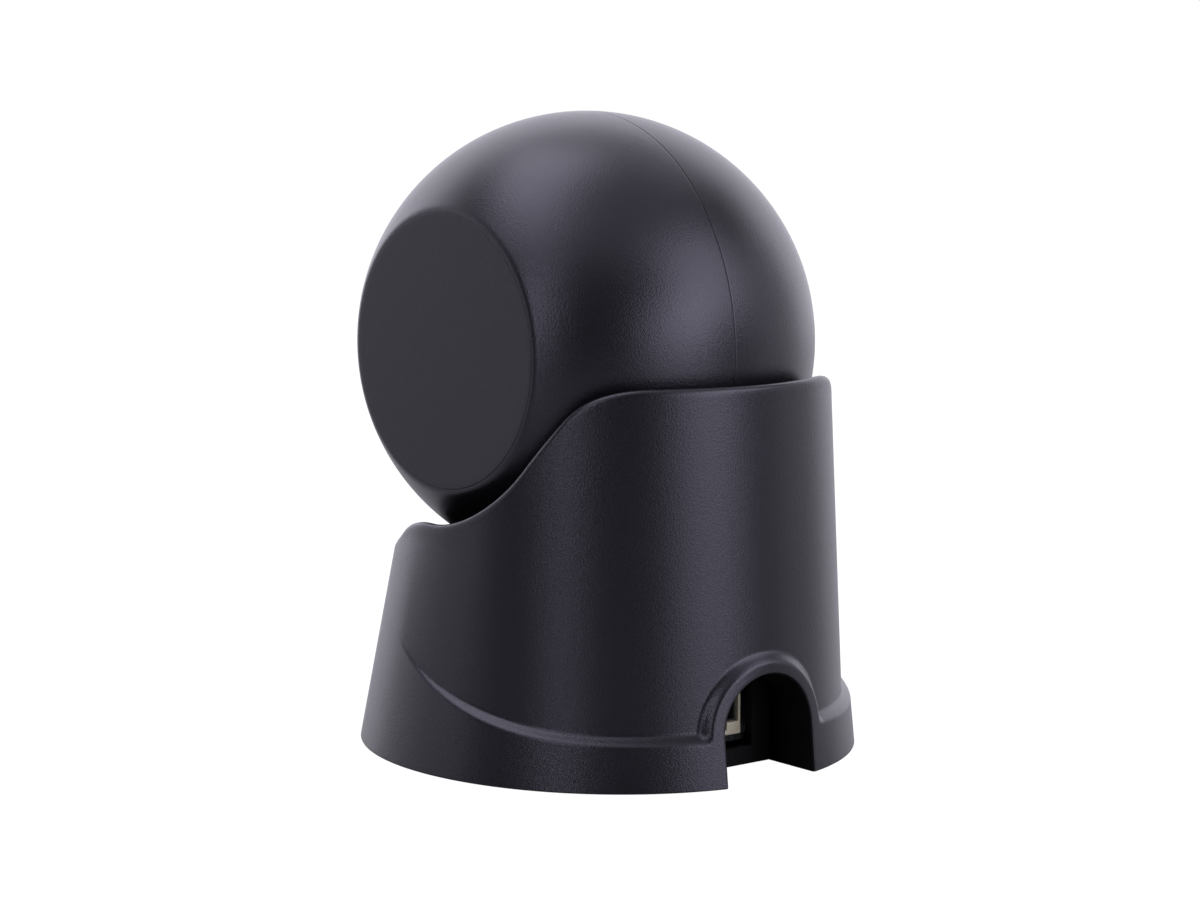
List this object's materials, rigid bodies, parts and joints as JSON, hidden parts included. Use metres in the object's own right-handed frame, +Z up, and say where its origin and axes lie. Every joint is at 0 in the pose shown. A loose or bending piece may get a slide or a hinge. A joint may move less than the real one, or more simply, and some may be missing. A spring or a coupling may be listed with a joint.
{
  "type": "hands-free barcode scanner",
  "caption": "Desktop presentation barcode scanner: a tilting ball head with a round scan window in a flared cradle base with an arched cable pocket at the back.",
  "frame": {"origin": "middle of the base's footprint on the table", "axes": "+Z up, -Y the way the scan window faces, +Y towards the cable pocket, +X the object's left side disc seen from behind it on the right hand of a person behind the scanner"},
  "size_m": [0.1164, 0.1217, 0.15],
  "materials": {
    "black_shell": "fine spark-eroded grain with a satin sheen",
    "side_disc": "fine grain, a little smoother than the shell",
    "window": "polished deep red filter plastic",
    "bezel": "polished black",
    "rubber": "matte moulded rubber",
    "steel": "zinc plated, lightly brushed",
    "weight": "dark phosphated steel weight",
    "brass": "plated spring brass",
    "board": "glass laminate under a black solder mask",
    "jack_ivory": "ivory glass-filled plastic, slightly satin",
    "bench_black": "matte optical black",
    "mirror": "front-silvered",
    "aluminium": "machined",
    "component": "moulded component body",
    "white_plastic": "connector plastic",
    "status_light": "diffused lamp plastic",
    "lead": "soft black jacket"
  },
  "bodies": {
    "base": {"base_shell": "black_shell", "base_plate": "black_shell", "rubber_feet": "rubber", "base_screws": "steel", "ballast_plate": "weight", "saddle": "bench_black", "saddle_screws": "steel", "saddle_pad": "rubber", "tilt_post": "steel", "keeper_plate": "steel", "keeper_spring": "steel", "keeper_nut": "steel", "interface_jack": "jack_ivory", "jack_contacts": "brass", "jack_board": "board", "board_screws": "steel", "base_connector": "white_plastic", "base_lead": "lead"},
    "head": {"left_shell": "black_shell", "right_shell": "black_shell", "left_cover": "side_disc", "right_cover": "side_disc", "head_screws": "steel", "scan_window": "window", "window_gasket": "rubber", "window_bezel": "bezel", "optical_bench": "bench_black", "bench_screws": "steel", "pattern_mirrors": "mirror", "collector_mirror": "mirror", "motor_stator": "component", "motor_bush": "brass", "main_board": "board", "main_board_screws": "steel", "laser_module": "aluminium", "photodetector": "component", "decoder_chip": "component", "head_connector": "white_plastic", "beeper": "component", "status_lights": "status_light", "head_lead": "lead"},
    "spinner": {"spinner_shaft": "steel", "motor_rotor": "steel", "mirror_polygon": "mirror"}
  },
  "joints": [
    {"name": "head_tilt", "type": "hinge", "parent": "base", "child": "head", "pos_m": [0, -0.0078, 0.0952], "axis": [1, 0, 0], "range_deg": [-15, 15], "deforming": ["head_lead"]},
    {"name": "mirror_spin", "type": "hinge", "parent": "head", "child": "spinner", "pos_m": [0, -0.0078, 0.08], "axis": [0, 0, 1], "continuous": true}
  ]
}
